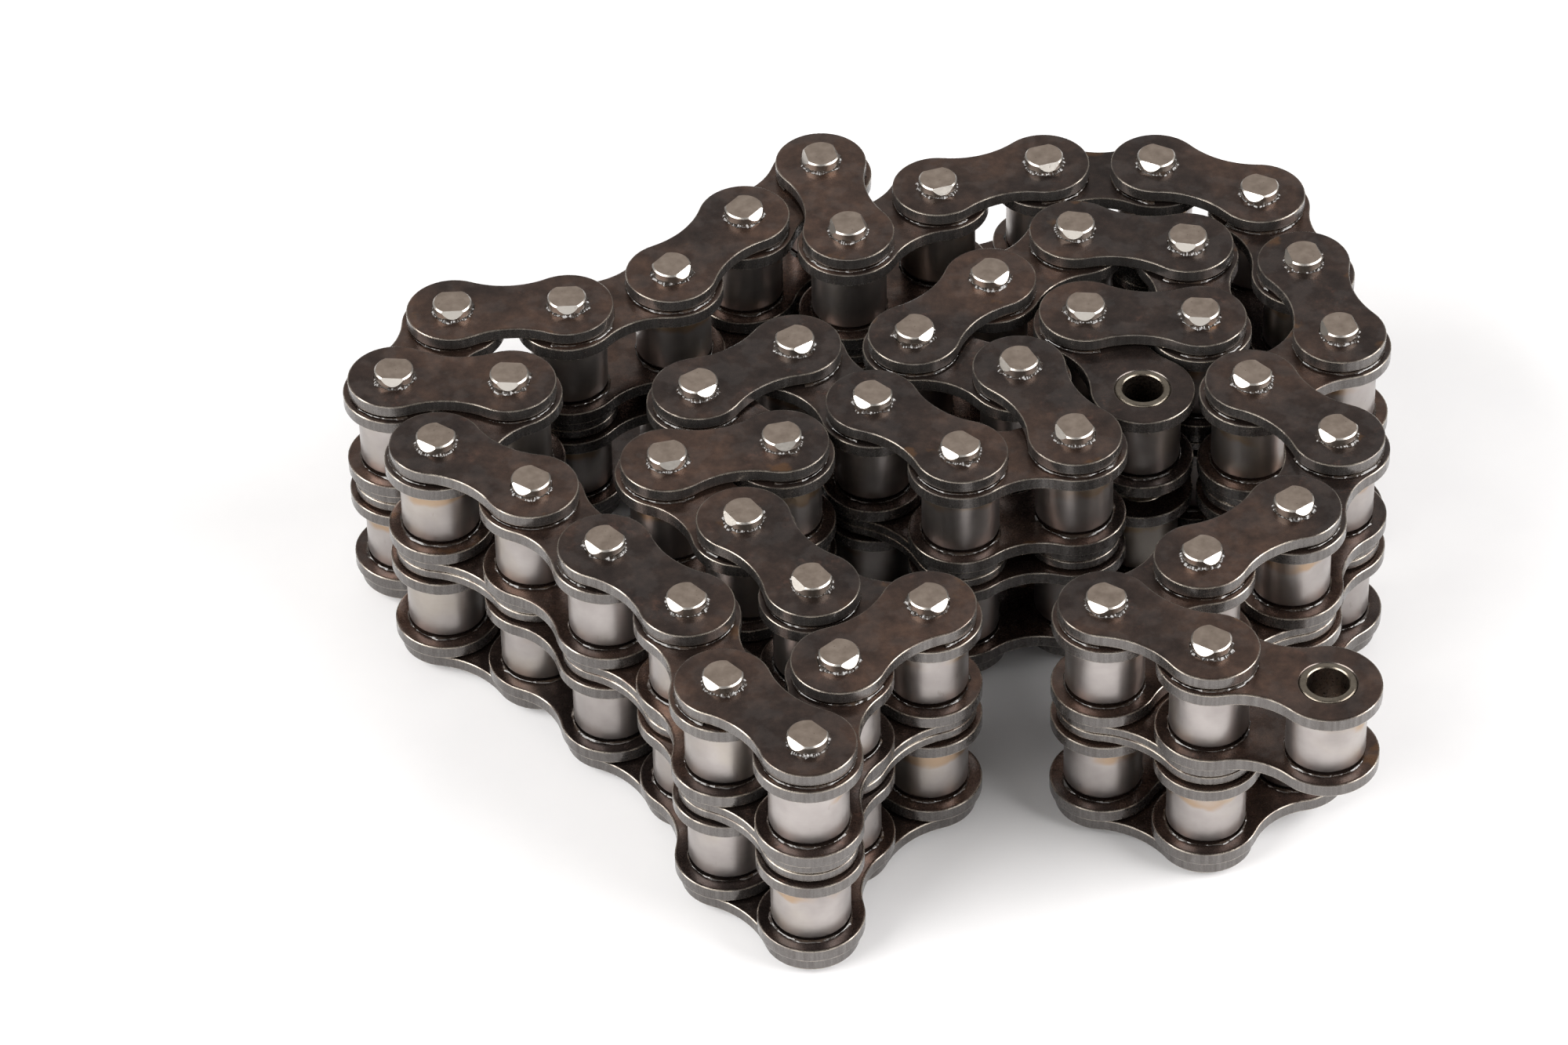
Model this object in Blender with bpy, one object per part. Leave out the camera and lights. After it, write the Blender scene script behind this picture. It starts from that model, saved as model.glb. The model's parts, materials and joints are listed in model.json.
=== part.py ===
"""Duplex roller chain: 45 links of 12.7 mm pitch, laid on its side in a loose heap.

Metres, +Z up. The pins stand upright and their lower ends rest on the plane z = 0.
Links are counted from the free end at the front right (link 1) to the free end in the
middle of the heap (link 45). Odd links are inner links, even links are outer links.
The first two links are modelled piece by piece. Each further link is one solid.
Nothing but the pin between links 1 and 2 ties the two strands of link 1 to each other, so
the lower one hangs at an angle of its own.
"""

import math

import bmesh
import bpy
from mathutils import Vector

MM = 0.001

# Chain section. Heights are measured from the middle plane, halfway between the strands.
PITCH = 12.7 * MM
STRAND_SPACING = 13.92 * MM
INNER_WIDTH = 7.85 * MM  # between the inner plates of one strand
INNER_PLATE_THICKNESS = 1.6 * MM
OUTER_PLATE_THICKNESS = 1.5 * MM
INTERMEDIATE_PAIR_THICKNESS = 2.3 * MM  # two plates face to face
BUSH_STAND_OUT = 0.095 * MM  # each bush end past its plate
SIDE_PLAY = 0.2 * MM  # between a bush end and an outer plate
PIN_HEAD_HEIGHT = 1.15 * MM  # pin end past its outer plate
ROLLER_END_PLAY = 0.3 * MM

# Radii
ROLLER_RADIUS = 4.255 * MM
BUSH_RADIUS = 3.05 * MM
BUSH_BORE_RADIUS = 2.45 * MM
OPEN_BORE_RADIUS = 2.25 * MM  # the bushes at the two free ends, which hold no pin
PIN_RADIUS = 2.15 * MM
RADIAL_PLAY = 0.3 * MM  # between pieces that are pressed or turn in one another

# Plate outlines: two round ends joined by a waist
INNER_END_RADIUS = 5.75 * MM
INNER_WAIST = 4.15 * MM  # half of the plate's height at the waist
OUTER_END_RADIUS = 5.15 * MM
OUTER_WAIST = 3.75 * MM

# The direction of each link in degrees, from the front free end to the inner one
LINK_HEADINGS = (
    161, 147, 34, 36, 64, 133, 37, 104, 109, 153, 178, -163, -144, 103, -134,
    -130, -156, -178, -119, -5, -128, -35, -51, -47, -73, -47, 74, 41, 164, 124,
    130, 12, 135, 33, -49, -43, 11, 116, 153, 47, 39, -12, -87, 174, -63,
)
FREE_END = (46.8 * MM, -38.3 * MM)  # axis of the first bush
LOWER_END_HEADING = -142  # link 1 in the lower strand; the list above gives the upper strand's
ROOT_LINK = 23  # the link that all others hang from

# Facets
FINE_SIDES = 12
COARSE_SIDES = 8
FINE_ARC = 8
COARSE_ARC = 6
FINE_WAIST_POINTS = 2
COARSE_WAIST_POINTS = 1
CUT_MARGIN = 1.0 * MM
JOIN_OVERLAP = 0.4 * MM

# Heights above the plane that the chain rests on
STRAND_HALF = STRAND_SPACING / 2
INNER_FACE = INNER_WIDTH / 2  # from a strand's middle to an inner plate
INNER_BACK = INNER_FACE + INNER_PLATE_THICKNESS
BUSH_HALF = INNER_BACK + BUSH_STAND_OUT
OUTER_FACE = STRAND_HALF + BUSH_HALF + SIDE_PLAY  # from the middle plane to an outer plate
OUTER_BACK = OUTER_FACE + OUTER_PLATE_THICKNESS
PIN_HALF = OUTER_BACK + PIN_HEAD_HEIGHT
MIDDLE = PIN_HALF
STRANDS = {"upper": MIDDLE + STRAND_HALF, "lower": MIDDLE - STRAND_HALF}


# Materials


def steel(name, colour, roughness):
    """A bare or oiled steel."""
    material = bpy.data.materials.new(name)
    material.use_nodes = True
    shader = material.node_tree.nodes["Principled BSDF"]
    shader.inputs["Base Color"].default_value = (*colour, 1.0)
    shader.inputs["Metallic"].default_value = 1.0
    shader.inputs["Roughness"].default_value = roughness
    material.diffuse_color = (*colour, 1.0)
    return material


def chain_materials():
    return {
        "plate": steel("dark_oiled_plate_steel", (0.075, 0.058, 0.050), 0.42),
        "roller": steel("satin_roller_steel", (0.58, 0.57, 0.55), 0.34),
        "pin": steel("bright_pin_steel", (0.46, 0.42, 0.37), 0.28),
        "bush": steel("straw_bush_steel", (0.62, 0.54, 0.42), 0.30),
    }


# Shapes. A link's mesh starts at its first pin, x = 0, and its second pin is at x = PITCH.


def arc(centre_x, centre_y, radius, first, last, count):
    """Points along an arc, with both ends."""
    points = []
    for step in range(count):
        angle = first + (last - first) * step / (count - 1)
        points.append((centre_x + radius * math.cos(angle), centre_y + radius * math.sin(angle)))
    return points


def plate_outline(end_radius, waist, arc_points, waist_points):
    """Counterclockwise outline of a waisted plate, whose hollow arcs touch its round ends."""
    half = PITCH / 2
    hollow = (half**2 + waist**2 - end_radius**2) / (2 * (end_radius - waist))
    rise = waist + hollow
    lean = math.atan2(rise, half)
    sweep = math.pi - lean
    right_end = arc(PITCH, 0.0, end_radius, -sweep, sweep, arc_points)
    top = arc(half, rise, hollow, -lean, lean - math.pi, waist_points + 2)[1:-1]
    left_end = [(PITCH - x, -y) for x, y in right_end]
    bottom = [(PITCH - x, -y) for x, y in top]
    return right_end + top + left_end + bottom


def prism(outline, low, high):
    """A closed mesh with this outline between two heights."""
    shape = bmesh.new()
    base = shape.faces.new([shape.verts.new((x, y, low)) for x, y in outline])
    walls = bmesh.ops.extrude_face_region(shape, geom=[base])
    raised = [item for item in walls["geom"] if isinstance(item, bmesh.types.BMVert)]
    bmesh.ops.translate(shape, verts=raised, vec=(0, 0, high - low))
    bmesh.ops.recalc_face_normals(shape, faces=shape.faces)
    return shape


def circle(centre_x, radius, sides):
    """A circle's outline, with a flat side towards the other pin."""
    turn = math.pi / sides
    return arc(centre_x, 0.0, radius, turn, 2 * math.pi - turn, sides)


def cylinder(centre_x, radius, low, high, sides):
    return prism(circle(centre_x, radius, sides), low, high)


def helper(shape):
    """A hidden object that a Boolean uses."""
    mesh = bpy.data.meshes.new("helper")
    shape.to_mesh(mesh)
    shape.free()
    tool = bpy.data.objects.new("helper", mesh)
    tool.hide_render = True
    tool.display_type = "WIRE"
    bpy.context.scene.collection.objects.link(tool)
    return tool


def combined(name, base, joined=(), cut=()):
    """The mesh of base with some shapes joined to it and then others cut from it."""
    body = helper(base)
    tools = []
    for operation, shapes in (("UNION", joined), ("DIFFERENCE", cut)):
        for shape in shapes:
            modifier = body.modifiers.new(operation.lower(), "BOOLEAN")
            modifier.operation = operation
            modifier.object = helper(shape)
            tools.append(modifier.object)
    graph = bpy.context.evaluated_depsgraph_get()
    mesh = bpy.data.meshes.new_from_object(body.evaluated_get(graph))
    mesh.name = name
    for used in [body, *tools]:
        bpy.data.objects.remove(used)
    return mesh


def bored_plate(name, outline, low, high, first_bore, second_bore):
    """One plate with a hole at each end."""
    cuts = [
        cylinder(x, radius, low - CUT_MARGIN, high + CUT_MARGIN, FINE_SIDES)
        for x, radius in ((0.0, first_bore), (PITCH, second_bore))
    ]
    return combined(name, prism(outline, low, high), cut=cuts)


def tube(name, centre_x, radius, bore, low, high):
    """A bush or a roller."""
    cutter = cylinder(centre_x, bore, low - CUT_MARGIN, high + CUT_MARGIN, FINE_SIDES)
    return combined(name, cylinder(centre_x, radius, low, high, FINE_SIDES), cut=[cutter])


# Whole links, each as one solid


def inner_plate_heights():
    """(low, high) of the four inner plates, from the bottom up."""
    heights = []
    for middle in (STRANDS["lower"], STRANDS["upper"]):
        heights.append((middle - INNER_BACK, middle - INNER_FACE))
        heights.append((middle + INNER_FACE, middle + INNER_BACK))
    return heights


def inner_link_mesh(name, second_bore):
    """Both strands of an inner link. A sleeve around the first pin joins the strands."""
    outline = plate_outline(INNER_END_RADIUS, INNER_WAIST, COARSE_ARC, COARSE_WAIST_POINTS)
    plates = [prism(outline, low, high) for low, high in inner_plate_heights()]
    rollers = []
    for middle in STRANDS.values():
        reach = INNER_FACE + JOIN_OVERLAP
        for x in (0.0, PITCH):
            rollers.append(cylinder(x, ROLLER_RADIUS, middle - reach, middle + reach, COARSE_SIDES))
    reach = STRAND_HALF - INNER_BACK + JOIN_OVERLAP
    sleeve = cylinder(0.0, BUSH_RADIUS, MIDDLE - reach, MIDDLE + reach, COARSE_SIDES)
    corner = 1 / math.cos(math.pi / COARSE_SIDES)
    bores = [
        cylinder(0.0, BUSH_BORE_RADIUS * corner, -CUT_MARGIN, 2 * MIDDLE, COARSE_SIDES),
        cylinder(PITCH, second_bore * corner, -CUT_MARGIN, 2 * MIDDLE, COARSE_SIDES),
    ]
    return combined(name, plates[0], joined=plates[1:] + rollers + [sleeve], cut=bores)


def outer_link_mesh(name):
    """Outer and intermediate plates on both pins. The next link's sleeve fits the wide hole."""
    outline = plate_outline(OUTER_END_RADIUS, OUTER_WAIST, COARSE_ARC, COARSE_WAIST_POINTS)
    bottom = prism(outline, MIDDLE - OUTER_BACK, MIDDLE - OUTER_FACE)
    top = prism(outline, MIDDLE + OUTER_FACE, MIDDLE + OUTER_BACK)
    half_pair = INTERMEDIATE_PAIR_THICKNESS / 2
    wide = (BUSH_RADIUS + RADIAL_PLAY) / math.cos(math.pi / COARSE_SIDES)
    pair = combined(
        "intermediate_pair",
        prism(outline, MIDDLE - half_pair, MIDDLE + half_pair),
        cut=[cylinder(PITCH, wide, 0.0, 2 * MIDDLE, COARSE_SIDES)],
    )
    pair_shape = bmesh.new()
    pair_shape.from_mesh(pair)
    pins = [cylinder(x, PIN_RADIUS, 0.0, 2 * MIDDLE, COARSE_SIDES) for x in (0.0, PITCH)]
    return combined(name, pins[0], joined=[pins[1], bottom, top, pair_shape])


# The lay of the chain


def pin_points():
    """The 46 axes along the chain, from free end to free end."""
    points = [Vector(FREE_END)]
    for heading in LINK_HEADINGS:
        angle = math.radians(heading)
        points.append(points[-1] + PITCH * Vector((math.cos(angle), math.sin(angle))))
    return points


def hinge_empties():
    """One empty for each link, on the axis that the link turns about."""
    points = pin_points()
    empties = {}
    for link, heading in enumerate(LINK_HEADINGS, start=1):
        empty = bpy.data.objects.new(f"hinge_of_link_{link:02d}", None)
        axis = points[link - 1] if link >= ROOT_LINK else points[link]
        empty.location = (axis.x, axis.y, 0.0)
        empty.rotation_euler.z = math.radians(heading)
        empty.empty_display_size = PITCH / 2
        bpy.context.scene.collection.objects.link(empty)
        empties[link] = empty
    return empties


def lower_end_empty(upper):
    """The lower strand of link 1 turns about the same axis as the upper one."""
    empty = bpy.data.objects.new("hinge_of_lower_end_link", None)
    empty.location = upper.location
    empty.rotation_euler.z = math.radians(LOWER_END_HEADING)
    empty.empty_display_size = PITCH / 2
    bpy.context.scene.collection.objects.link(empty)
    return empty


def place(name, mesh, material, empty, link, smooth=False):
    """Adds one piece of a link, whose mesh starts at the link's first pin."""
    piece = bpy.data.objects.new(name, mesh)
    if not mesh.materials:
        mesh.materials.append(material)
    for face in mesh.polygons:
        face.use_smooth = smooth and abs(face.normal.z) < 0.5
    piece.parent = empty
    piece.location.x = 0.0 if link >= ROOT_LINK else -PITCH
    bpy.context.scene.collection.objects.link(piece)
    return piece


def centre_origin(piece, x, z):
    """Moves a spinning piece's origin to its own axis, without moving the piece."""
    for vertex in piece.data.vertices:
        vertex.co -= Vector((x, 0.0, z))
    piece.location += Vector((x, 0.0, z))


def add_end_inner_link(empties, materials):
    """Link 1, piece by piece: four plates, four bushes and four rollers that turn on them."""
    outline = plate_outline(INNER_END_RADIUS, INNER_WAIST, FINE_ARC, FINE_WAIST_POINTS)
    hole = BUSH_RADIUS + RADIAL_PLAY
    names = ("lower_bottom", "lower_top", "upper_bottom", "upper_top")
    for label, (low, high) in zip(names, inner_plate_heights()):
        name = f"end_inner_plate_{label}"
        mesh = bored_plate(name, outline, low, high, hole, hole)
        place(name, mesh, materials["plate"], empties[label.split("_")[0]], 1)
    roller_half = INNER_FACE - ROLLER_END_PLAY
    for strand, z in STRANDS.items():
        for end, x, bore in (("free", 0.0, OPEN_BORE_RADIUS), ("hinged", PITCH, BUSH_BORE_RADIUS)):
            name = f"end_bush_{strand}_{end}"
            mesh = tube(name, x, BUSH_RADIUS, bore, z - BUSH_HALF, z + BUSH_HALF)
            place(name, mesh, materials["bush"], empties[strand], 1, smooth=True)
            name = f"end_roller_{strand}_{end}"
            mesh = tube(name, x, ROLLER_RADIUS, hole, z - roller_half, z + roller_half)
            roller = place(name, mesh, materials["roller"], empties[strand], 1, smooth=True)
            centre_origin(roller, x, z)


def add_first_outer_link(empty, materials):
    """Link 2, piece by piece: two outer plates, the intermediate pair and two pins."""
    outline = plate_outline(OUTER_END_RADIUS, OUTER_WAIST, FINE_ARC, FINE_WAIST_POINTS)
    hole = PIN_RADIUS + RADIAL_PLAY
    wide = (BUSH_RADIUS + RADIAL_PLAY) / math.cos(math.pi / FINE_SIDES)
    half_pair = INTERMEDIATE_PAIR_THICKNESS / 2
    plates = (
        ("first_outer_plate_bottom", -OUTER_BACK, -OUTER_FACE, hole),
        ("first_outer_plate_top", OUTER_FACE, OUTER_BACK, hole),
        ("first_intermediate_plates", -half_pair, half_pair, wide),
    )
    for name, low, high, second_hole in plates:
        mesh = bored_plate(name, outline, MIDDLE + low, MIDDLE + high, hole, second_hole)
        place(name, mesh, materials["plate"], empty, 2)
    for name, x in (("first_pin_near_end", 0.0), ("first_pin_far_end", PITCH)):
        mesh = bpy.data.meshes.new(name)
        shape = cylinder(x, PIN_RADIUS, 0.0, 2 * MIDDLE, FINE_SIDES)
        shape.to_mesh(mesh)
        shape.free()
        place(name, mesh, materials["pin"], empty, 2, smooth=True)


def add_whole_links(empties, materials):
    """Links 3 to 45. Links of one kind share a mesh, and the last has an open bore."""
    inner = inner_link_mesh("inner_link", BUSH_BORE_RADIUS)
    last = inner_link_mesh("last_inner_link", OPEN_BORE_RADIUS)
    outer = outer_link_mesh("outer_link")
    for link in range(3, len(LINK_HEADINGS) + 1):
        if link % 2 == 0:
            place(f"outer_link_{link // 2:02d}", outer, materials["plate"], empties[link], link)
            continue
        mesh = last if link == len(LINK_HEADINGS) else inner
        place(f"inner_link_{link // 2 + 1:02d}", mesh, materials["plate"], empties[link], link)


def clear_scene():
    for obj in list(bpy.data.objects):
        bpy.data.objects.remove(obj)


def build_chain():
    clear_scene()
    materials = chain_materials()
    empties = hinge_empties()
    ends = {"upper": empties[1], "lower": lower_end_empty(empties[1])}
    add_end_inner_link(ends, materials)
    add_first_outer_link(empties[2], materials)
    add_whole_links(empties, materials)


build_chain()
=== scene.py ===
"""A length of duplex roller chain lying in a folded heap.

Fine plates, pins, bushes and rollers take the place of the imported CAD. Every link's pieces are
built from the axes of its two pins and ride on the link's own body.
"""

import json
import math
from collections import namedtuple

import bmesh
import bpy
from mathutils import Matrix, Vector, noise


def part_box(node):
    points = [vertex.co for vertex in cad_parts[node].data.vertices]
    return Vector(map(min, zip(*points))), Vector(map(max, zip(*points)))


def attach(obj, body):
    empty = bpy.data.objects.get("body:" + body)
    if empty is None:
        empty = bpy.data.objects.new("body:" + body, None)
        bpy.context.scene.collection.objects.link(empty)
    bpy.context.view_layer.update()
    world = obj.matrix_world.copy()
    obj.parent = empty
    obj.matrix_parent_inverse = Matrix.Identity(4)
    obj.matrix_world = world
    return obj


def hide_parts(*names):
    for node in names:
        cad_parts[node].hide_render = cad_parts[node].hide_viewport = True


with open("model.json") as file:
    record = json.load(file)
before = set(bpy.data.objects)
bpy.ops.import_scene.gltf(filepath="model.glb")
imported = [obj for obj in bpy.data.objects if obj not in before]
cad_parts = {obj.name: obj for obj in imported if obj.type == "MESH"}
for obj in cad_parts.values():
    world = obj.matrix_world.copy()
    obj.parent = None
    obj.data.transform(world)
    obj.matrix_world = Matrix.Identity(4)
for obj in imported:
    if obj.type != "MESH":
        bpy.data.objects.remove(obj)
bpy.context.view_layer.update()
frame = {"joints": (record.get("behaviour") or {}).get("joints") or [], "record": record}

MM = 0.001

# --- sizes of the real parts, in mm ---------------------------------------------------------

INNER_END_RADIUS = 5.75
INNER_WAIST = 4.15
OUTER_END_RADIUS = 5.15
OUTER_WAIST = 3.75

# A plate's rim is rounded: how far down it reaches, and how far in over the face.
PLATE_RIM = 0.14
PLATE_ROLL = 0.30
PLATE_HOLE_RIM = 0.12
# Wear fades out over this height below the rim, and the border value over this width of face.
PLATE_RIM_WIDTH = 0.10
PLATE_BORDER = 1.0
# Intermediate plates lie face to face with this between them.
SEAM = 0.05

PIN_RADIUS = 2.15
PIN_CHAMFER = 0.16
PIN_FLAT_FROM_AXIS = 1.66
PIN_FLAT_ANGLE = math.radians(60.0)

BUSH_RADIUS = 3.05
BUSH_BORE = 2.25
BUSH_BORE_CHAMFER = 0.12
BUSH_END_ROUND = 0.24

ROLLER_RADIUS = 4.255
ROLLER_BORE = 3.2
ROLLER_BORE_CHAMFER = 0.1
ROLLER_ROUND = 0.42

# Left free round a pin or bush where it is pressed into a plate.
PRESS_GAP = 0.02

# --- oil, in mm -----------------------------------------------------------------------------

# How far the oil climbs on average at a pin, at a roller's foot and at an outer plate's edge.
OIL_AT_PIN = 0.24
OIL_AT_ROLLER = 0.16
OIL_AT_PLATE = 0.15
OIL_ROLLER_GAP = 0.03
OIL_UNDER_PLATE = 0.12
OIL_LIFT = 0.004
# The place of the oil in the material list of a piece that carries some.
OIL_MATERIAL = 1
# The section of an oil fillet, as shares of its size: outwards and upwards from the corner.
OIL_SECTION = ((0.02, 1.0), (0.42, 0.82), (0.88, 0.45), (1.15, 0.0))
# The size varies round the fillet: its mean and least share, and its waves, each with a
# frequency, a share and a step through the noise for each seed.
OIL_MEAN = 0.8
OIL_LEAST = 0.06
OIL_STEEPEST = 1.3
OIL_WAVES = (
    (1.6, 1.5, (3.7, 1.9, 0.0)),
    (5.0, 0.8, (0.0, 2.3, 1.0)),
    (13.0, 0.45, (1.0, 0.0, 1.7)),
)
FULL_TURN = (0.0, 2 * math.pi)
# The outer plate covers the inner one's oil except round its end, this far to each side.
ROUND_END_HALF = math.radians(112.0)

# --- mesh fineness and wear -----------------------------------------------------------------

END_ARC_STEPS = 40
WAIST_ARC_STEPS = 12
ROUND_SIDES = 64
HOLE_SIDES = 32
OIL_STEPS = 120
RIM_STEPS = 4
SHARP_ABOVE = math.radians(14.0)

# How bare a plate's steel is at each step round its rim, and at the edges of its holes.
RIM_WEAR = (0.0, 0.25, 0.75, 1.0, 0.8)
HOLE_FACE_WEAR = 0.4
HOLE_WALL_WEAR = 0.6

# --- camera ---------------------------------------------------------------------------------

CAMERA_PLACE = (-0.0096, -0.5560, 0.5220)
CAMERA_TILT = math.radians(42.22)
CAMERA_ROLL = math.radians(1.31)
CAMERA_LENS = 157.4
CAMERA_SENSOR = 36.0
CAMERA_CLIP = (0.01, 20.0)

# --- light ----------------------------------------------------------------------------------

WORLD_STRENGTH = 0.12
WORLD_COLOUR = (1.0, 0.99, 0.98, 1.0)
FLOOR_HALF = 3.0
# The lights face this point, half the heap's height over the floor.
LIGHT_AIM = (0.0, 0.0, 0.015)
# Each light's name, place, size, power in W and colour.
LIGHTS = [
    ("left", (-0.62, -0.26, 0.40), (0.80, 0.62), 11.2, (1.0, 0.985, 0.97)),
    ("right", (0.66, -0.18, 0.36), (0.75, 0.56), 10.8, (1.0, 0.985, 0.975)),
    ("back", (0.0, 0.95, 0.86), (2.2, 1.1), 3.4, (1.0, 0.965, 0.93)),
    ("front", (-0.20, -1.1, 0.35), (1.1, 0.5), 2.2, (1.0, 0.99, 0.98)),
]


# --- where the links lie --------------------------------------------------------------------


def body_name(link):
    """The body of a link, counted from 1 at the open front end. Odd links are inner ones."""
    if link == 2:
        return "first_outer_link"
    if link % 2 == 0:
        return f"outer_link_{link // 2:02d}"
    return f"inner_link_{link // 2 + 1:02d}"


def pin_axes():
    """The axes that the links turn about, from the free bush to the far open bush, in the plane.

    The front end's free bush is that of the upper strand.
    """
    hinges = [j for j in frame["joints"] if j["name"].endswith("_hinge")]
    hinges = [j for j in hinges if "lower" not in j["name"]]
    hinges.sort(key=lambda j: j["name"])
    low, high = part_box("end_bush_upper_free")
    axes = [(low + high).to_2d() / 2]
    for hinge in hinges:
        axes.append(Vector(hinge["pos_m"][:2]))
    pitch = (axes[2] - axes[1]).length
    mounts = {m["name"]: m for m in frame["record"]["mounts"]}
    beyond = Vector(mounts["inner_end_upper_face"]["pos_m"][:2])
    axes.append(axes[-1] + (beyond - axes[-1]).normalized() * pitch)
    return axes


def height_span(node):
    """Lowest and highest z of a CAD node."""
    low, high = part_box(node)
    return low.z, high.z


def middle_plates(pair):
    """The two plates between the strands, face to face, from the span that they take together."""
    low, high = pair
    middle = (low + high) / 2
    return [(low, middle - SEAM * MM / 2), (middle + SEAM * MM / 2, high)]


AXES = pin_axes()
LINKS = len(AXES) - 1

INNER_PLATES = [
    height_span(f"end_inner_plate_{level}")
    for level in ("lower_bottom", "lower_top", "upper_bottom", "upper_top")
]
INNER_TOP = INNER_PLATES[-1][1]
OUTER_PLATES = [
    height_span("first_outer_plate_bottom"),
    *middle_plates(height_span("first_intermediate_plates")),
    height_span("first_outer_plate_top"),
]
OUTER_TOP = OUTER_PLATES[-1][1]
PIN_SPAN = height_span("first_pin_near_end")
BUSHES = [height_span(f"end_bush_{strand}_free") for strand in ("lower", "upper")]
ROLLERS = [height_span(f"end_roller_{strand}_free") for strand in ("lower", "upper")]

PlateShape = namedtuple("PlateShape", "end_radius waist hole_radius")
INNER_SHAPE = PlateShape(INNER_END_RADIUS * MM, INNER_WAIST * MM, (BUSH_RADIUS + PRESS_GAP) * MM)
OUTER_SHAPE = PlateShape(OUTER_END_RADIUS * MM, OUTER_WAIST * MM, (PIN_RADIUS + PRESS_GAP) * MM)


# --- mesh building --------------------------------------------------------------------------


class Builder:
    """A mesh under construction. Each point has values that the finishes read.

    On plates, wear is 1 where rubbing has laid the steel bare and border is 1 next to an edge.
    On turned pieces, along is the share of the height.
    """

    def __init__(self):
        self.mesh = bmesh.new()
        layers = self.mesh.verts.layers.float
        self.layers = {name: layers.new(name) for name in ("wear", "border", "along")}

    def ring(self, points, **values):
        """A closed loop of points, with values for wear, border and along."""
        made = []
        for point in points:
            vert = self.mesh.verts.new(point)
            for name, value in values.items():
                vert[self.layers[name]] = value
            made.append(vert)
        return made

    def bridge(self, lower, upper, material=0, closed=True):
        """Quads between two rings, or two open rows, with the same number of points."""
        count = len(lower)
        for i in range(count if closed else count - 1):
            j = (i + 1) % count
            face = self.mesh.faces.new((lower[i], lower[j], upper[j], upper[i]))
            face.material_index = material

    def cap(self, rings, up):
        """A flat face bounded by the first ring, with the other rings as holes."""
        edges = []
        for ring in rings:
            for i, vert in enumerate(ring):
                pair = (vert, ring[(i + 1) % len(ring)])
                edges.append(self.mesh.edges.get(pair) or self.mesh.edges.new(pair))
        filled = bmesh.ops.triangle_fill(self.mesh, edges=edges, use_beauty=True)
        for item in filled["geom"]:
            if isinstance(item, bmesh.types.BMFace):
                item.normal_update()
                if (item.normal.z > 0) != up:
                    item.normal_flip()

    def chain(self, rings):
        """Bridges each ring to the next."""
        for ring, following in zip(rings, rings[1:]):
            self.bridge(ring, following)

    def lathe(self, centre, profile):
        """Turns a closed profile of (radius, z) about a vertical axis, lengths in metres."""
        low = min(z for _, z in profile)
        high = max(z for _, z in profile)
        rings = []
        for radius, z in profile:
            points = circle(centre, radius, z, ROUND_SIDES)
            rings.append(self.ring(points, along=(z - low) / (high - low)))
        for i, ring in enumerate(rings):
            self.bridge(ring, rings[(i + 1) % len(rings)])

    def finish(self, name, materials):
        """The finished object, smooth but for its real edges."""
        bmesh.ops.recalc_face_normals(self.mesh, faces=self.mesh.faces)
        data = bpy.data.meshes.new(name)
        self.mesh.to_mesh(data)
        self.mesh.free()
        data.shade_smooth()
        data.set_sharp_from_angle(angle=SHARP_ABOVE)
        for material in materials:
            data.materials.append(material)
        made = bpy.data.objects.new(name, data)
        bpy.context.scene.collection.objects.link(made)
        return made


def circle(centre, radius, z, sides):
    """Points round a vertical axis."""
    points = []
    for i in range(sides):
        angle = 2 * math.pi * i / sides
        x = centre.x + radius * math.cos(angle)
        y = centre.y + radius * math.sin(angle)
        points.append(Vector((x, y, z)))
    return points


def plate_outline(pitch, end_radius, waist):
    """The figure-of-eight edge of a plate: its first hole at the origin, its second on +X."""
    half = pitch / 2
    hollow = (half**2 + waist**2 - end_radius**2) / (2 * (end_radius - waist))
    rise = waist + hollow
    meet = math.atan2(rise, half)
    points = []
    for end in (1, -1):
        centre_x = pitch if end > 0 else 0.0
        turned = 0.0 if end > 0 else math.pi
        for i in range(END_ARC_STEPS + 1):
            share = i / END_ARC_STEPS
            angle = turned - (math.pi - meet) + 2 * (math.pi - meet) * share
            x = centre_x + end_radius * math.cos(angle)
            y = end_radius * math.sin(angle)
            points.append(Vector((x, y)))
        spread = math.pi / 2 - meet
        for i in range(1, WAIST_ARC_STEPS):
            share = i / WAIST_ARC_STEPS
            angle = -math.pi / 2 + spread - 2 * spread * share
            x = half + end * hollow * math.cos(angle)
            y = end * (rise + hollow * math.sin(angle))
            points.append(Vector((x, y)))
    return points


def placed(points, start, direction, z):
    """Points of a link's own plane at a height, with the link's first axis at start."""
    across = Vector((-direction.y, direction.x))
    made = []
    for point in points:
        flat = start + direction * point.x + across * point.y
        made.append(Vector((flat.x, flat.y, z)))
    return made


def rim_steps(inwards, down):
    """How far in and how far down a rounded rim is at each step, from the flat face to the side."""
    steps = []
    for i in range(RIM_STEPS + 1):
        angle = math.pi / 2 * i / RIM_STEPS
        steps.append((inwards * (1 - math.sin(angle)), down * (1 - math.cos(angle))))
    return steps


def edge_levels(span):
    """The rings down a plate's edge: how far in, how high, and their wear and border."""
    low, high = span
    roll = PLATE_ROLL * MM
    border = PLATE_BORDER * MM
    below = (PLATE_RIM + PLATE_RIM_WIDTH) * MM
    steps = list(zip(rim_steps(roll, PLATE_RIM * MM), RIM_WEAR))
    levels = [(roll + border, high, 0.0, 0.0)]
    for (inset, drop), wear in steps:
        levels.append((inset, high - drop, wear, 1.0))
    levels += [(0.0, high - below, 0.0, 0.0), (0.0, low + below, 0.0, 0.0)]
    for (inset, drop), wear in reversed(steps):
        levels.append((inset, low + drop, wear, 1.0))
    levels.append((roll + border, low, 0.0, 0.0))
    return levels


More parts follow.
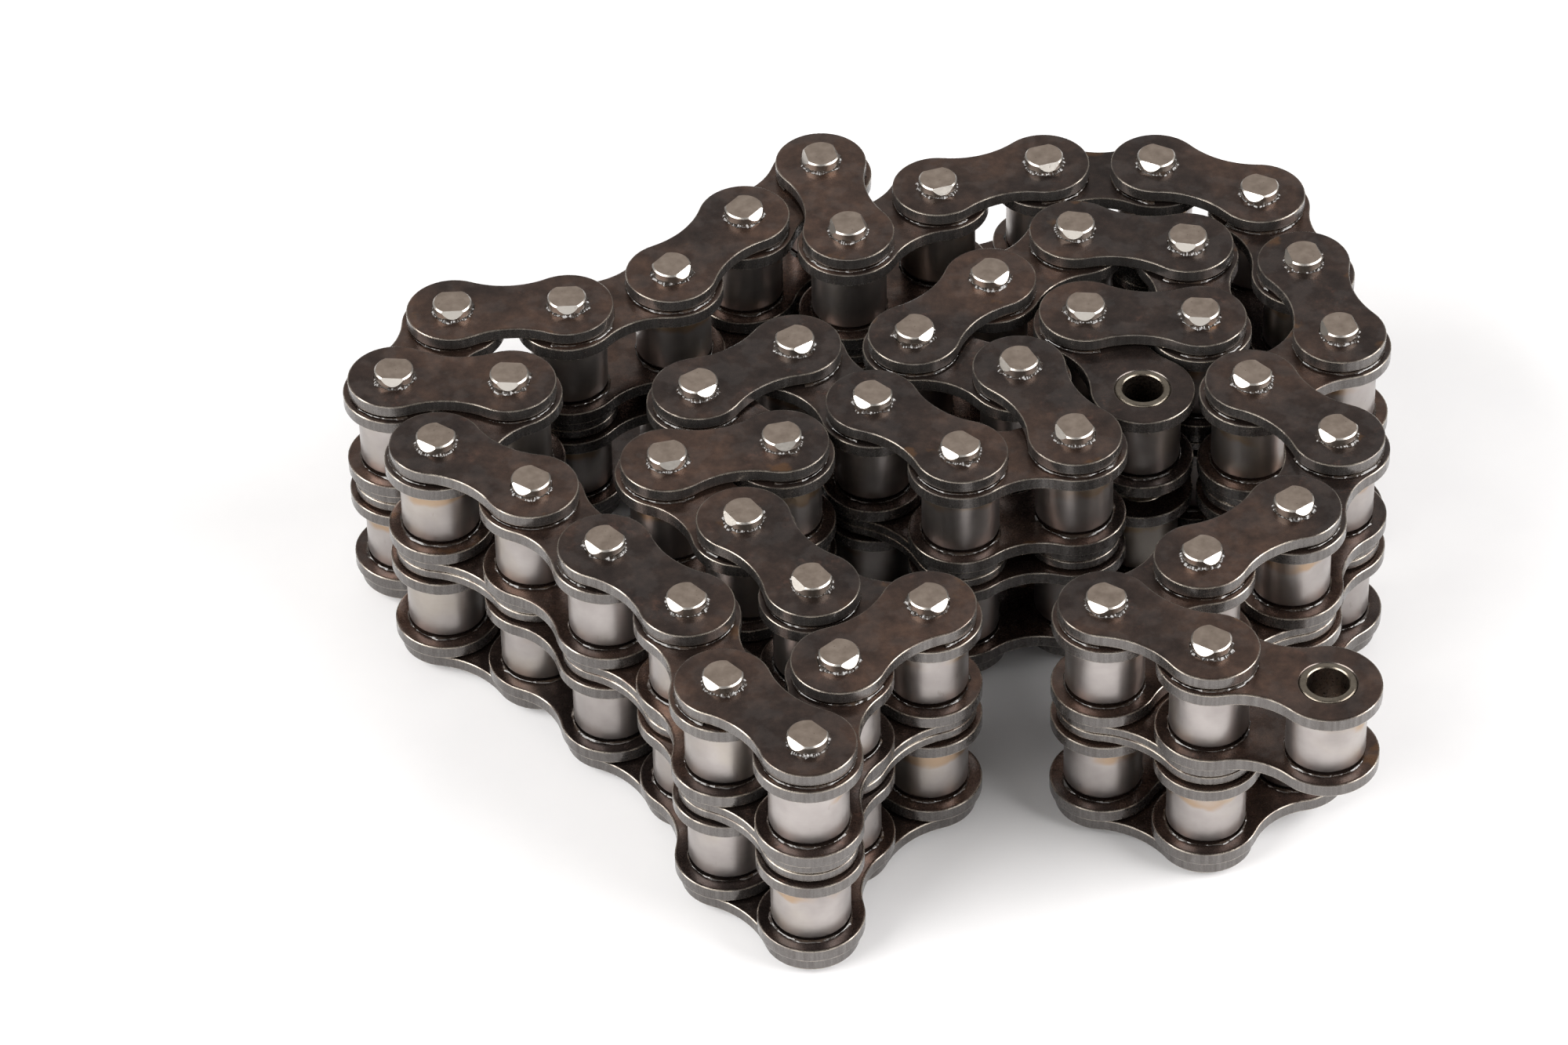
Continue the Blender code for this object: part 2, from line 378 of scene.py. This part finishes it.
def hole_levels(radius, span):
    """The rings down a hole in a plate: how wide, how high, and their wear and border."""
    low, high = span
    rim = PLATE_HOLE_RIM * MM
    border = PLATE_BORDER * MM
    return [
        (radius + rim + border, high, 0.0, 0.0),
        (radius + rim, high, HOLE_FACE_WEAR, 1.0),
        (radius, high - rim, HOLE_WALL_WEAR, 1.0),
        (radius, low + rim, HOLE_WALL_WEAR, 1.0),
        (radius + rim, low, HOLE_FACE_WEAR, 1.0),
        (radius + rim + border, low, 0.0, 0.0),
    ]


def add_plate(builder, start, direction, pitch, shape, span):
    """A punched link plate with rounded rims and two holes."""
    outer = []
    for inset, z, wear, border in edge_levels(span):
        outline = plate_outline(pitch, shape.end_radius - inset, shape.waist - inset)
        points = placed(outline, start, direction, z)
        outer.append(builder.ring(points, wear=wear, border=border))
    builder.chain(outer)
    holes = []
    for centre in (start, start + direction * pitch):
        rings = []
        for radius, z, wear, border in hole_levels(shape.hole_radius, span):
            points = circle(centre, radius, z, HOLE_SIDES)
            rings.append(builder.ring(points, wear=wear, border=border))
        builder.chain(rings)
        holes.append(rings)
    builder.cap([outer[0]] + [rings[0] for rings in holes], True)
    builder.cap([outer[-1]] + [rings[-1] for rings in holes], False)


def add_pin(builder, centre, direction):
    """A pin through both strands, with a chamfered rim and two slanting flats at each end."""
    low, high = PIN_SPAN
    radius = PIN_RADIUS * MM
    chamfer = PIN_CHAMFER * MM
    before = set(builder.mesh.faces)
    rings = []
    for reach, z in (
        (radius - chamfer, low),
        (radius, low + chamfer),
        (radius, high - chamfer),
        (radius - chamfer, high),
    ):
        rings.append(builder.ring(circle(centre, reach, z, ROUND_SIDES)))
    builder.chain(rings)
    builder.cap([rings[0]], False)
    builder.cap([rings[-1]], True)
    across = Vector((-direction.y, direction.x, 0))
    for end, z in ((1, high), (-1, low)):
        for side in (1, -1):
            cut_flat(builder, before, centre, across * side, end, z)


def cut_flat(builder, before, centre, outward, end, z):
    """Cuts one slanting flat on the pin end at height z, and closes the cut.

    before holds the faces of the pieces made earlier, which the cut leaves alone.
    """
    faces = [f for f in builder.mesh.faces if f not in before]
    edges = {e for f in faces for e in f.edges}
    verts = {v for f in faces for v in f.verts}
    start = Vector((centre.x, centre.y, z)) + outward * PIN_FLAT_FROM_AXIS * MM
    normal = outward * math.sin(PIN_FLAT_ANGLE)
    normal.z = end * math.cos(PIN_FLAT_ANGLE)
    cut = bmesh.ops.bisect_plane(
        builder.mesh,
        geom=faces + list(edges) + list(verts),
        plane_co=start,
        plane_no=normal,
        clear_outer=True,
    )
    rim = [g for g in cut["geom_cut"] if isinstance(g, bmesh.types.BMEdge)]
    bmesh.ops.holes_fill(builder.mesh, edges=rim, sides=0)


def rounded_side(radius, rounding, span):
    """The outer half of a tube's profile, from its top face to its bottom face."""
    low, high = span
    steps = rim_steps(rounding, rounding)
    profile = [(radius - inset, high - drop) for inset, drop in steps]
    profile += [(radius - inset, low + drop) for inset, drop in reversed(steps)]
    return profile


def tube_profile(radius, rounding, bore, cut, span):
    """The closed profile of a tube with rounded outer edges and a chamfered bore."""
    low, high = span
    top = [(bore, high - cut), (bore + cut, high)]
    bottom = [(bore + cut, low), (bore, low + cut)]
    return top + rounded_side(radius, rounding, span) + bottom


def add_bush(builder, centre, span):
    """A bush: a tube with rounded ends and a chamfered bore."""
    cut = BUSH_BORE_CHAMFER * MM
    profile = tube_profile(BUSH_RADIUS * MM, BUSH_END_ROUND * MM, BUSH_BORE * MM, cut, span)
    builder.lathe(centre, profile)


def add_roller(builder, centre, span):
    """A roller: a tube with well-rounded outer edges."""
    cut = ROLLER_BORE_CHAMFER * MM
    profile = tube_profile(ROLLER_RADIUS * MM, ROLLER_ROUND * MM, ROLLER_BORE * MM, cut, span)
    builder.lathe(centre, profile)


def oil_size(way, seed):
    """The size of an oil fillet in one direction, as a share of its average."""
    size = OIL_MEAN
    for frequency, share, step in OIL_WAVES:
        shift = Vector([seed * part for part in step])
        size += share * noise.noise(way * frequency + shift)
    return max(OIL_LEAST, size)


def add_oil(builder, centre, z, inner, height, seed, arc=FULL_TURN):
    """An uneven fillet of oil on a level face, round the foot of something round.

    inner is the radius of what it lies against, and height how far it climbs on average.
    """
    first, last = arc
    closed = arc == FULL_TURN
    gaps = OIL_STEPS if closed else OIL_STEPS - 1
    rows = [[] for _ in OIL_SECTION]
    for i in range(OIL_STEPS):
        angle = first + (last - first) * i / gaps
        way = Vector((math.cos(angle), math.sin(angle), 0))
        size = height * oil_size(way, seed)
        rise = min(size, height * OIL_STEEPEST)
        for row, (out, up) in zip(rows, OIL_SECTION):
            place = Vector((centre.x, centre.y, z)) + way * (inner + size * out)
            place.z += rise * up + OIL_LIFT * MM
            row.append(place)
    made = [builder.ring(points) for points in rows]
    for upper, lower in zip(made, made[1:]):
        builder.bridge(lower, upper, OIL_MATERIAL, closed)


# --- finishes -------------------------------------------------------------------------------


class Finish:
    """A node material under construction. Each method adds a node and returns its output."""

    def __init__(self, name):
        self.material = bpy.data.materials.new(name)
        self.material.use_nodes = True
        self.tree = self.material.node_tree
        self.tree.nodes.clear()

    def add(self, kind, **settings):
        """A node of a kind, with settings such as its operation."""
        made = self.tree.nodes.new(kind)
        for key, value in settings.items():
            setattr(made, key, value)
        return made

    def put(self, socket, value):
        """Links a socket to another node's output, or sets it to a constant."""
        if isinstance(value, bpy.types.NodeSocket):
            self.tree.links.new(value, socket)
        else:
            socket.default_value = value

    def place(self, stretch=(1, 1, 1)):
        """Points of the object, in metres, stretched along the axes."""
        source = self.add("ShaderNodeTexCoord")
        scaled = self.add("ShaderNodeVectorMath", operation="MULTIPLY")
        self.put(scaled.inputs[0], source.outputs["Object"])
        self.put(scaled.inputs[1], stretch)
        return scaled.outputs[0]

    def noise(self, where, scale, detail, roughness):
        """Cloudy noise. scale is in cycles per metre."""
        made = self.add("ShaderNodeTexNoise")
        self.put(made.inputs["Vector"], where)
        self.put(made.inputs["Scale"], scale)
        self.put(made.inputs["Detail"], detail)
        self.put(made.inputs["Roughness"], roughness)
        return made.outputs["Fac"]

    def cells(self, where, scale):
        """Distance to the nearest of many scattered points."""
        made = self.add("ShaderNodeTexVoronoi")
        self.put(made.inputs["Vector"], where)
        self.put(made.inputs["Scale"], scale)
        return made.outputs["Distance"]

    def attribute(self, name):
        """A value that Builder stored with the mesh."""
        made = self.add("ShaderNodeAttribute", attribute_name=name)
        return made.outputs["Fac"]

    def upness(self):
        """How far the surface faces up or down: 1 when level, 0 when upright."""
        source = self.add("ShaderNodeNewGeometry")
        parts = self.add("ShaderNodeSeparateXYZ")
        self.put(parts.inputs[0], source.outputs["Normal"])
        return self.maths("ABSOLUTE", parts.outputs["Z"], 0.0)

    def maths(self, operation, a, b):
        """The result of an operation on one or two values."""
        made = self.add("ShaderNodeMath", operation=operation)
        self.put(made.inputs[0], a)
        self.put(made.inputs[1], b)
        return made.outputs[0]

    def less(self, value):
        """1 less a value."""
        return self.maths("SUBTRACT", 1.0, value)

    def span(self, value, low, high, to_low=0.0, to_high=1.0):
        """value from low..high to to_low..to_high, smoothly and clamped."""
        made = self.add("ShaderNodeMapRange", interpolation_type="SMOOTHSTEP")
        for socket, item in zip(made.inputs[:5], (value, low, high, to_low, to_high)):
            self.put(socket, item)
        return made.outputs[0]

    def ramp(self, value, stops):
        """A colour from a value, by stops of (value, colour)."""
        made = self.add("ShaderNodeValToRGB")
        line = made.color_ramp
        while len(line.elements) < len(stops):
            line.elements.new(0.5)
        for element, (at, colour) in zip(line.elements, stops):
            element.position = at
            element.color = (*colour, 1.0)
        self.put(made.inputs[0], value)
        return made.outputs["Color"]

    def mix(self, share, a, b):
        """Colour a where share is 0, colour b where it is 1."""
        made = self.add("ShaderNodeMix", data_type="RGBA")
        self.put(made.inputs[0], share)
        self.put(made.inputs[6], a if not isinstance(a, tuple) else (*a, 1.0))
        self.put(made.inputs[7], b if not isinstance(b, tuple) else (*b, 1.0))
        return made.outputs[2]

    def tint(self, colour, where, strength, added):
        """A colour with another laid over it at a strength, where a mask is 1."""
        return self.mix(self.maths("MULTIPLY", where, strength), colour, added)

    def bump(self, height, distance, strength):
        """A surface direction from a height. distance is the height of 1, in metres."""
        made = self.add("ShaderNodeBump")
        self.put(made.inputs["Height"], height)
        self.put(made.inputs["Distance"], distance)
        self.put(made.inputs["Strength"], strength)
        return made.outputs["Normal"]

    def surface(self, **values):
        """The finished material, from values for the Principled shader's sockets."""
        shader = self.add("ShaderNodeBsdfPrincipled")
        for key, value in values.items():
            if isinstance(value, tuple):
                value = (*value, 1.0)
            self.put(shader.inputs[key.replace("_", " ")], value)
        output = self.add("ShaderNodeOutputMaterial")
        self.put(output.inputs["Surface"], shader.outputs[0])
        return self.material


def plate_finish():
    """Dark oiled plate: brown-black faces, grey sheared sides, thin bright rims."""
    f = Finish("oiled_plate_steel")
    where = f.place()
    link = f.span(f.noise(where, 45, 2, 0.5), 0.40, 0.62)
    blotch = f.noise(where, 520, 7, 0.62)
    grain = f.noise(where, 3000, 5, 0.65)
    black = f.ramp(
        blotch,
        [
            (0.30, (0.030, 0.022, 0.020)),
            (0.52, (0.048, 0.035, 0.031)),
            (0.76, (0.078, 0.054, 0.045)),
        ],
    )
    brown = f.ramp(
        blotch,
        [
            (0.30, (0.058, 0.038, 0.031)),
            (0.52, (0.098, 0.061, 0.047)),
            (0.76, (0.155, 0.092, 0.066)),
        ],
    )
    face = f.mix(link, black, brown)
    patch = f.span(f.noise(where, 170, 3, 0.5), 0.52, 0.66)
    rust = f.span(f.noise(where, 1000, 7, 0.7), 0.50, 0.70)
    rust = f.maths("MULTIPLY", rust, patch)
    face = f.tint(face, rust, 0.5, (0.17, 0.092, 0.070))
    near_edge = f.maths("MULTIPLY", f.attribute("border"), 0.05)
    seep = f.span(f.maths("ADD", f.noise(where, 190, 4, 0.55), near_edge), 0.68, 0.76)
    face = f.tint(face, seep, 0.5, (0.19, 0.095, 0.040))
    dust = f.span(f.noise(where, 5200, 3, 0.6), 0.68, 0.76)
    face = f.tint(face, dust, 0.3, (0.20, 0.18, 0.165))
    streak = f.noise(f.place((1, 1, 0.05)), 2400, 5, 0.6)
    side = f.ramp(
        streak,
        [
            (0.30, (0.105, 0.095, 0.090)),
            (0.50, (0.135, 0.125, 0.119)),
            (0.72, (0.175, 0.164, 0.156)),
        ],
    )
    dirt = f.span(f.noise(where, 300, 5, 0.6), 0.46, 0.70)
    side = f.tint(side, dirt, 0.5, (0.070, 0.058, 0.052))
    level = f.span(f.upness(), 0.45, 0.9)
    colour = f.mix(level, side, face)
    chips = f.span(f.noise(where, 420, 4, 0.55), 0.38, 0.60, 0.2, 1.0)
    worn = f.maths("MULTIPLY", f.span(f.attribute("wear"), 0.30, 0.95), chips)
    colour = f.mix(worn, colour, (0.46, 0.41, 0.35))
    wet = f.span(f.noise(where, 300, 4, 0.55), 0.46, 0.60)
    rough = f.span(grain, 0.3, 0.75, 0.24, 0.34)
    height = f.maths("ADD", f.maths("MULTIPLY", streak, 0.5), f.noise(where, 700, 3, 0.5))
    return f.surface(
        Base_Color=colour,
        Metallic=f.span(worn, 0.0, 1.0, 0.85, 1.0),
        Roughness=rough,
        Coat_Weight=f.span(wet, 0.0, 1.0, 0.15, 0.50),
        Coat_Roughness=0.12,
        Normal=f.bump(height, 0.000012, 0.5),
    )


def roller_finish():
    """Ground grey steel: satin, with faint marks and oil stains near the top. It is darker at its
    foot, which is painted shade where it stands on the plate below, partly wet oil.
    """
    f = Finish("satin_roller_steel")
    where = f.place()
    cloud = f.noise(where, 240, 3, 0.5)
    grain = f.noise(f.place((1, 1, 2.5)), 1500, 3, 0.5)
    colour = f.ramp(
        cloud,
        [
            (0.30, (0.315, 0.288, 0.276)),
            (0.55, (0.385, 0.354, 0.340)),
            (0.80, (0.450, 0.416, 0.402)),
        ],
    )
    along = f.attribute("along")
    uneven = f.maths("ADD", along, f.maths("MULTIPLY", cloud, 0.12))
    drip = f.maths("ADD", along, f.maths("MULTIPLY", cloud, 0.55))
    stain = f.span(f.noise(where, 85, 2, 0.5), 0.50, 0.62)
    stain = f.maths("MULTIPLY", stain, f.span(drip, 0.96, 1.08))
    colour = f.tint(colour, stain, 0.65, (0.34, 0.20, 0.08))
    yellow = f.span(f.noise(where, 110, 3, 0.5), 0.52, 0.70)
    colour = f.tint(colour, yellow, 0.35, (0.42, 0.37, 0.29))
    scratch = f.span(f.noise(f.place((1, 1, 0.4)), 900, 4, 0.6), 0.66, 0.74)
    colour = f.tint(colour, scratch, 0.35, (0.20, 0.18, 0.165))
    # Darker towards the foot: painted shade where the roller meets the plate below, partly a film
    # of wet oil.
    foot = f.less(f.span(uneven, 0.07, 0.12))
    colour = f.tint(colour, foot, 0.8, (0.05, 0.04, 0.035))
    return f.surface(
        Base_Color=colour,
        Metallic=1.0,
        Roughness=f.span(grain, 0.3, 0.7, 0.34, 0.40),
        Coat_Weight=0.2,
        Coat_Roughness=0.15,
        Normal=f.bump(grain, 0.000001, 0.5),
    )


def pin_finish():
    """Brownish bright steel, with a painted highlight on its slanting flats and chamfers, darker
    upright sides and a few pits.
    """
    f = Finish("bright_pin_steel")
    where = f.place()
    cloud = f.noise(where, 750, 6, 0.6)
    grain = f.noise(where, 4200, 5, 0.7)
    level = f.upness()
    head = f.ramp(
        cloud,
        [
            (0.30, (0.31, 0.250, 0.205)),
            (0.55, (0.41, 0.335, 0.280)),
            (0.78, (0.50, 0.42, 0.355)),
        ],
    )
    # The slanting flats and chamfers are lighter than the level top and the upright sides: a
    # painted highlight.
    top = f.span(level, 0.9, 0.98)
    colour = f.mix(top, (0.50, 0.47, 0.43), head)
    upright = f.less(f.span(level, 0.1, 0.4))
    colour = f.mix(upright, colour, (0.34, 0.30, 0.26))
    pit = f.less(f.span(f.cells(where, 1300), 0.04, 0.12))
    colour = f.tint(colour, pit, 0.6, (0.10, 0.08, 0.06))
    return f.surface(
        Base_Color=colour,
        Metallic=1.0,
        Roughness=f.span(grain, 0.3, 0.7, 0.30, 0.42),
        Coat_Weight=0.3,
        Coat_Roughness=0.12,
        Normal=f.bump(grain, 0.000003, 0.4),
    )


def bush_finish():
    """Straw-coloured steel, with its bore painted darker amber as shade in the hollow."""
    f = Finish("straw_bush_steel")
    where = f.place()
    cloud = f.noise(where, 800, 6, 0.6)
    grain = f.noise(where, 3600, 5, 0.7)
    colour = f.ramp(
        cloud,
        [
            (0.30, (0.16, 0.135, 0.105)),
            (0.55, (0.225, 0.195, 0.155)),
            (0.80, (0.30, 0.265, 0.215)),
        ],
    )
    # Upright walls, the bore among them, are darker: painted shade inside the bore.
    upright = f.less(f.span(f.upness(), 0.1, 0.5))
    colour = f.mix(upright, colour, (0.20, 0.16, 0.13))
    return f.surface(
        Base_Color=colour,
        Metallic=1.0,
        Roughness=f.span(grain, 0.3, 0.7, 0.24, 0.38),
        Coat_Weight=0.3,
        Coat_Roughness=0.12,
        Normal=f.bump(grain, 0.000003, 0.4),
    )


def oil_finish():
    """A dark amber film of oil with grit in it."""
    f = Finish("dark_oil")
    where = f.place()
    cloud = f.noise(where, 900, 6, 0.7)
    colour = f.ramp(
        cloud,
        [
            (0.35, (0.012, 0.009, 0.007)),
            (0.60, (0.030, 0.020, 0.014)),
            (0.80, (0.075, 0.048, 0.026)),
        ],
    )
    return f.surface(
        Base_Color=colour,
        Metallic=0.0,
        Roughness=f.span(cloud, 0.3, 0.7, 0.06, 0.16),
        Coat_Weight=1.0,
        Coat_Roughness=0.05,
        Normal=f.bump(f.noise(where, 2600, 5, 0.7), 0.00005, 0.8),
    )


PLATE_FINISH = plate_finish()
ROLLER_FINISH = roller_finish()
PIN_FINISH = pin_finish()
BUSH_FINISH = bush_finish()
OIL_FINISH = oil_finish()


# --- the links ------------------------------------------------------------------------------


def members_of(body, kind):
    """A body's CAD nodes of a kind, or all of them where one node stands for the whole link."""
    members = frame["record"]["behaviour"]["bodies"][body]
    return [name for name in members if kind in name] or members


def settle(piece, body, nodes):
    """Ties a piece to its body and the CAD nodes that it stands for."""
    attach(piece, body)
    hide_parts(*nodes)


def link_axes(link):
    """(first axis, direction, pitch) of a link."""
    start, end = AXES[link - 1], AXES[link]
    step = end - start
    return start, step.normalized(), step.length


def build_outer_link(link):
    """The four plates and two pins of an outer link, with oil round the pins and on the ledges."""
    body = body_name(link)
    start, direction, pitch = link_axes(link)
    plates = Builder()
    for span in OUTER_PLATES:
        add_plate(plates, start, direction, pitch, OUTER_SHAPE, span)
    made = plates.finish(f"{body}_fine_plates", [PLATE_FINISH])
    settle(made, body, members_of(body, "plate"))
    pins = Builder()
    heading = math.atan2(direction.y, direction.x)
    ledge = (OUTER_END_RADIUS - OIL_UNDER_PLATE) * MM
    for i, centre in enumerate((start, start + direction * pitch)):
        add_pin(pins, centre, direction)
        seed = link * 2 + i
        add_oil(pins, centre, OUTER_TOP, PIN_RADIUS * MM, OIL_AT_PIN * MM, seed)
        away = heading + math.pi * (1 - i)
        arc = (away - ROUND_END_HALF, away + ROUND_END_HALF)
        add_oil(pins, centre, INNER_TOP, ledge, OIL_AT_PLATE * MM, seed + 0.5, arc)
    made = pins.finish(f"{body}_fine_pins", [PIN_FINISH, OIL_FINISH])
    settle(made, body, members_of(body, "pin"))


def build_inner_link(link):
    """Both strands of an inner link other than the front one."""
    body = body_name(link)
    start, direction, pitch = link_axes(link)
    members = frame["record"]["behaviour"]["bodies"][body]
    plates = inner_plates(start, direction, pitch, INNER_PLATES, link)
    made = plates.finish(f"{body}_fine_plates", [PLATE_FINISH, OIL_FINISH])
    settle(made, body, members)
    bushes = Builder()
    rollers = Builder()
    for centre in (start, start + direction * pitch):
        for bush, roller in zip(BUSHES, ROLLERS):
            add_bush(bushes, centre, bush)
            add_roller(rollers, centre, roller)
    made = bushes.finish(f"{body}_fine_bushes", [BUSH_FINISH])
    settle(made, body, members)
    made = rollers.finish(f"{body}_fine_rollers", [ROLLER_FINISH])
    settle(made, body, members)


def inner_plates(start, direction, pitch, spans, seed):
    """Inner plates, the lower one of each strand with oil round its rollers' feet."""
    plates = Builder()
    foot = (ROLLER_RADIUS + OIL_ROLLER_GAP) * MM
    for i, span in enumerate(spans):
        add_plate(plates, start, direction, pitch, INNER_SHAPE, span)
        if i % 2 == 0:
            for end in (0, 1):
                centre = start + direction * pitch * end
                add_oil(plates, centre, span[1], foot, OIL_AT_ROLLER * MM, seed + i + end * 0.5)
    return plates


def build_front_link(strand):
    """One strand of the open front link. Its two rollers turn on bodies of their own."""
    body = f"end_inner_link_{strand}"
    level = 0 if strand == "lower" else 1
    low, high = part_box(f"end_bush_{strand}_free")
    start = (low + high).to_2d() / 2
    step = AXES[1] - start
    spans = INNER_PLATES[2 * level : 2 * level + 2]
    plates = inner_plates(start, step.normalized(), step.length, spans, level)
    made = plates.finish(f"{body}_fine_plates", [PLATE_FINISH, OIL_FINISH])
    settle(made, body, members_of(body, "plate"))
    bushes = Builder()
    ends = {"free": start, "hinged": AXES[1]}
    for centre in ends.values():
        add_bush(bushes, centre, BUSHES[level])
    made = bushes.finish(f"{body}_fine_bushes", [BUSH_FINISH])
    settle(made, body, members_of(body, "bush"))
    for end, centre in ends.items():
        node = f"end_roller_{strand}_{end}"
        roller = Builder()
        add_roller(roller, centre, ROLLERS[level])
        made = roller.finish(f"{node}_fine", [ROLLER_FINISH])
        settle(made, node, [node])


def build_chain():
    """Every link, from the open front end to the open end inside the heap."""
    for strand in ("lower", "upper"):
        build_front_link(strand)
    for link in range(2, LINKS + 1):
        if link % 2 == 0:
            build_outer_link(link)
        else:
            build_inner_link(link)


# --- studio ---------------------------------------------------------------------------------


def floor_finish():
    """White paper with a trace of unevenness."""
    f = Finish("white_paper")
    cloud = f.noise(f.place(), 30, 5, 0.6)
    colour = f.ramp(cloud, [(0.3, (0.86, 0.86, 0.87)), (0.7, (0.90, 0.90, 0.905))])
    return f.surface(Base_Color=colour, Roughness=0.85)


def build_floor():
    """A wide white floor under the heap."""
    mesh = bmesh.new()
    bmesh.ops.create_grid(mesh, x_segments=2, y_segments=2, size=FLOOR_HALF)
    data = bpy.data.meshes.new("floor")
    mesh.to_mesh(data)
    mesh.free()
    data.materials.append(floor_finish())
    floor = bpy.data.objects.new("floor", data)
    bpy.context.scene.collection.objects.link(floor)


def add_area_light(name, place, size, power, colour):
    """A rectangular light that faces the middle of the heap."""
    data = bpy.data.lights.new(name, "AREA")
    data.shape = "RECTANGLE"
    data.size, data.size_y = size
    data.energy = power
    data.color = colour
    lamp = bpy.data.objects.new(name, data)
    lamp.location = place
    aim = Vector(LIGHT_AIM) - Vector(place)
    lamp.rotation_euler = aim.to_track_quat("-Z", "Y").to_euler()
    bpy.context.scene.collection.objects.link(lamp)


def build_light():
    """A bright table between two soft side lights, with dim panels behind and in front."""
    world = bpy.data.worlds.new("studio")
    world.use_nodes = True
    background = world.node_tree.nodes["Background"]
    background.inputs["Color"].default_value = WORLD_COLOUR
    background.inputs["Strength"].default_value = WORLD_STRENGTH
    bpy.context.scene.world = world
    bpy.context.scene.view_settings.view_transform = "Standard"
    for light in LIGHTS:
        add_area_light(*light)


def build_camera():
    """The photo's view: a long lens, tilted down and rolled a little."""
    data = bpy.data.cameras.new("camera")
    data.lens = CAMERA_LENS
    data.sensor_width = CAMERA_SENSOR
    data.clip_start, data.clip_end = CAMERA_CLIP
    level_right = Vector((1, 0, 0))
    level_up = Vector((0, math.sin(CAMERA_TILT), math.cos(CAMERA_TILT)))
    back = Vector((0, -math.cos(CAMERA_TILT), math.sin(CAMERA_TILT)))
    right = level_right * math.cos(CAMERA_ROLL) - level_up * math.sin(CAMERA_ROLL)
    up = level_right * math.sin(CAMERA_ROLL) + level_up * math.cos(CAMERA_ROLL)
    camera = bpy.data.objects.new("camera", data)
    turn = Matrix((right, up, back)).transposed().to_4x4()
    camera.matrix_world = Matrix.Translation(CAMERA_PLACE) @ turn
    bpy.context.scene.collection.objects.link(camera)
    bpy.context.scene.camera = camera


build_chain()
build_floor()
build_light()
build_camera()
